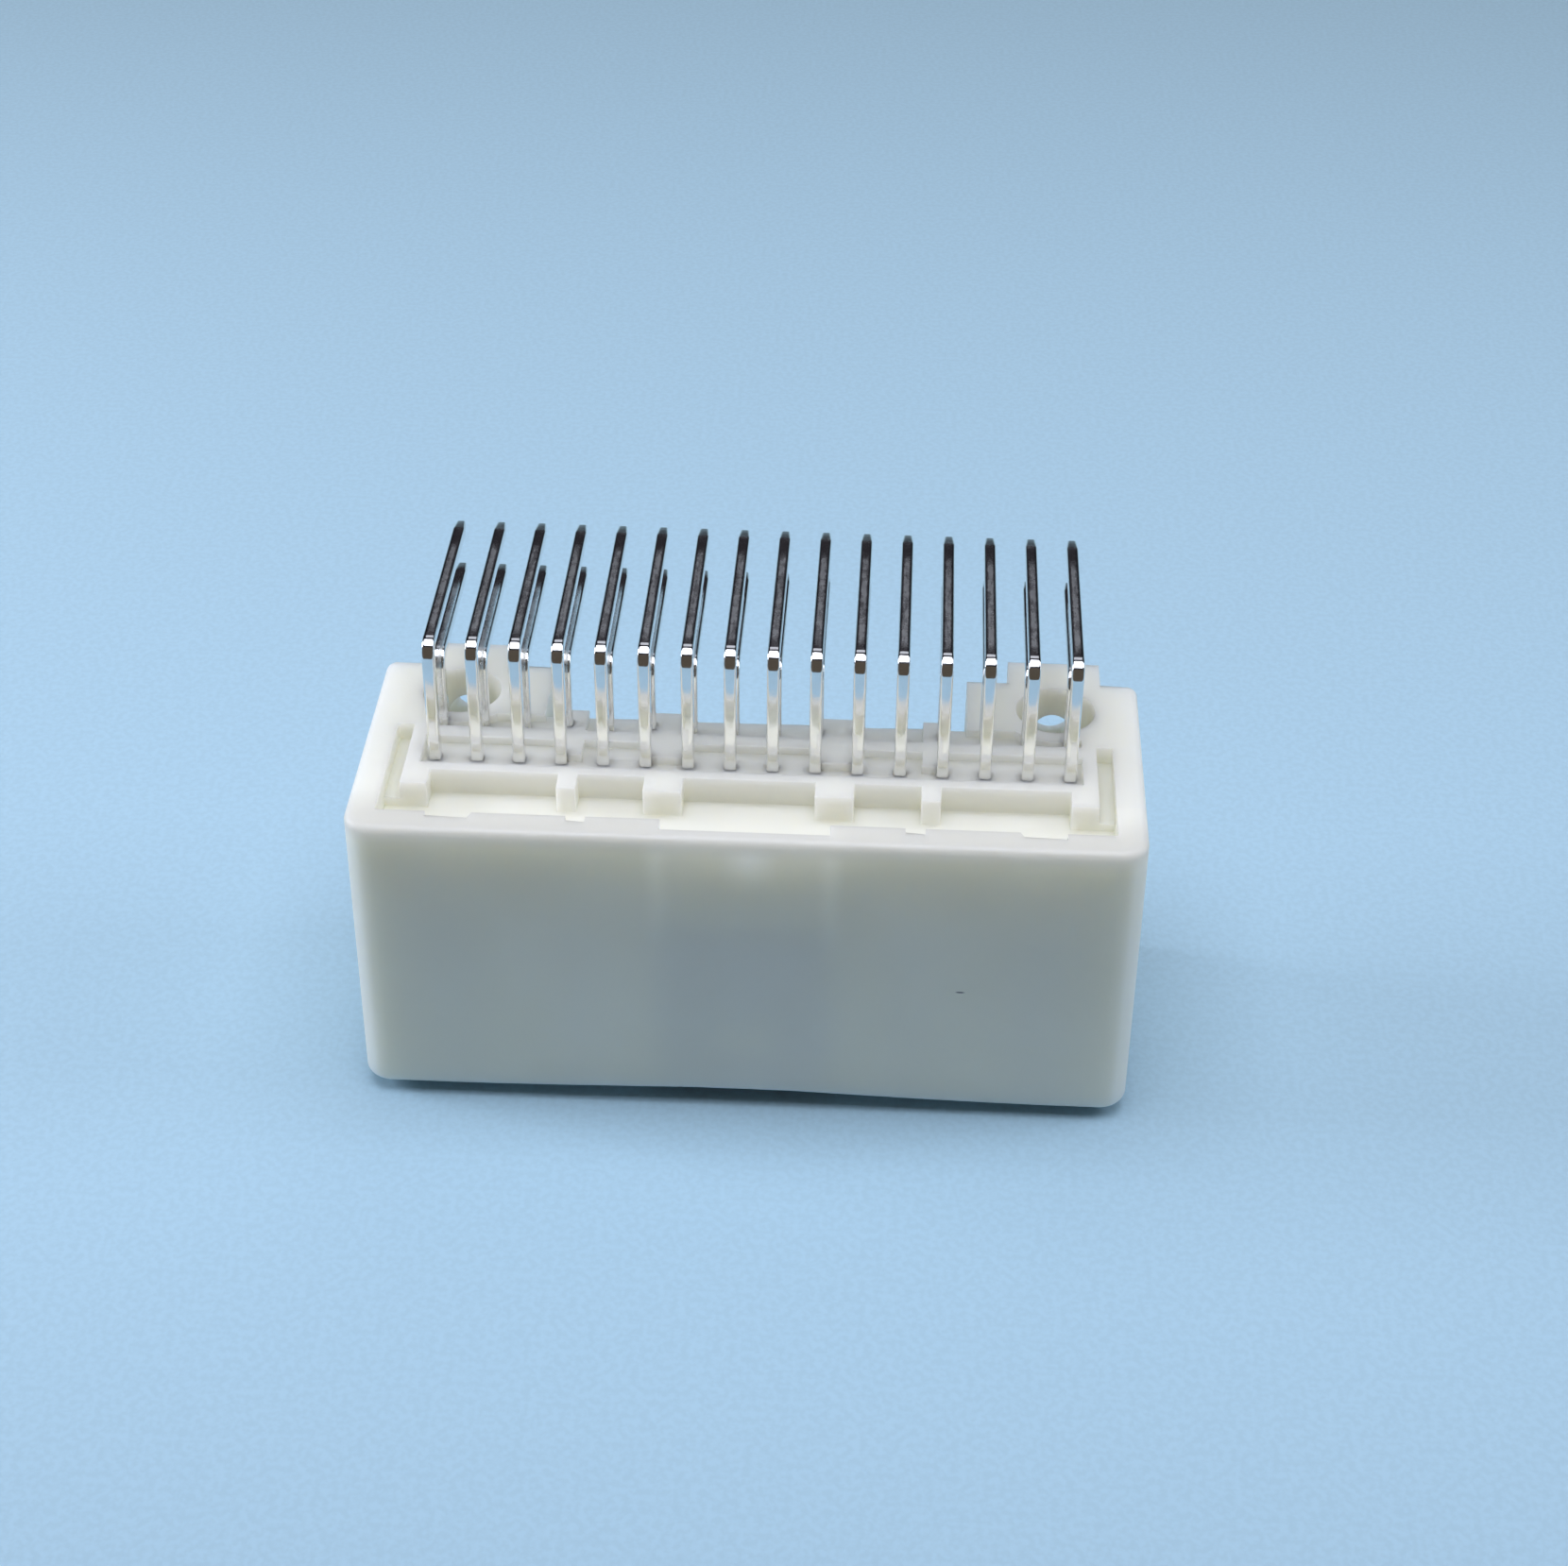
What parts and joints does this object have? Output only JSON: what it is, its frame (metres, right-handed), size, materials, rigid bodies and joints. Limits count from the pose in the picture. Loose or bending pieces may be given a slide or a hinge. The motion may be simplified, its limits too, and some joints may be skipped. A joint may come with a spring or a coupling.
{
  "type": "right-angle pin header connector",
  "caption": "Right-angle shrouded pin header in natural plastic, with rows of bent square contacts and screw ears that fix it to a circuit board.",
  "frame": {"origin": "middle of the footprint of the whole part, in the plane of the mating mouth", "axes": "+X along the contact rows, +Y from the plain front wall towards the circuit board and the contact tails, +Z from the mating mouth up to the back that the contacts leave"},
  "size_m": [0.0406, 0.0194, 0.0235],
  "materials": {
    "housing_plastic": "natural ivory moulded plastic, smooth and slightly translucent, with a soft sheen",
    "contact_plating": "bright tin plating on square copper alloy wire, mirror-like along its drawn faces"
  },
  "bodies": {
    "root": {"housing": "housing_plastic", "long_contact_01": "contact_plating", "long_contact_02": "contact_plating", "long_contact_03": "contact_plating", "long_contact_04": "contact_plating", "long_contact_05": "contact_plating", "long_contact_06": "contact_plating", "long_contact_07": "contact_plating", "long_contact_08": "contact_plating", "long_contact_09": "contact_plating", "long_contact_10": "contact_plating", "long_contact_11": "contact_plating", "long_contact_12": "contact_plating", "long_contact_13": "contact_plating", "long_contact_14": "contact_plating", "long_contact_15": "contact_plating", "long_contact_16": "contact_plating", "short_contact_01": "contact_plating", "short_contact_02": "contact_plating", "short_contact_03": "contact_plating", "short_contact_04": "contact_plating", "short_contact_05": "contact_plating", "short_contact_06": "contact_plating", "short_contact_07": "contact_plating", "short_contact_08": "contact_plating", "short_contact_09": "contact_plating", "short_contact_10": "contact_plating", "short_contact_11": "contact_plating", "short_contact_12": "contact_plating", "short_contact_13": "contact_plating", "short_contact_14": "contact_plating", "short_contact_15": "contact_plating", "short_contact_16": "contact_plating"}
  },
  "joints": []
}
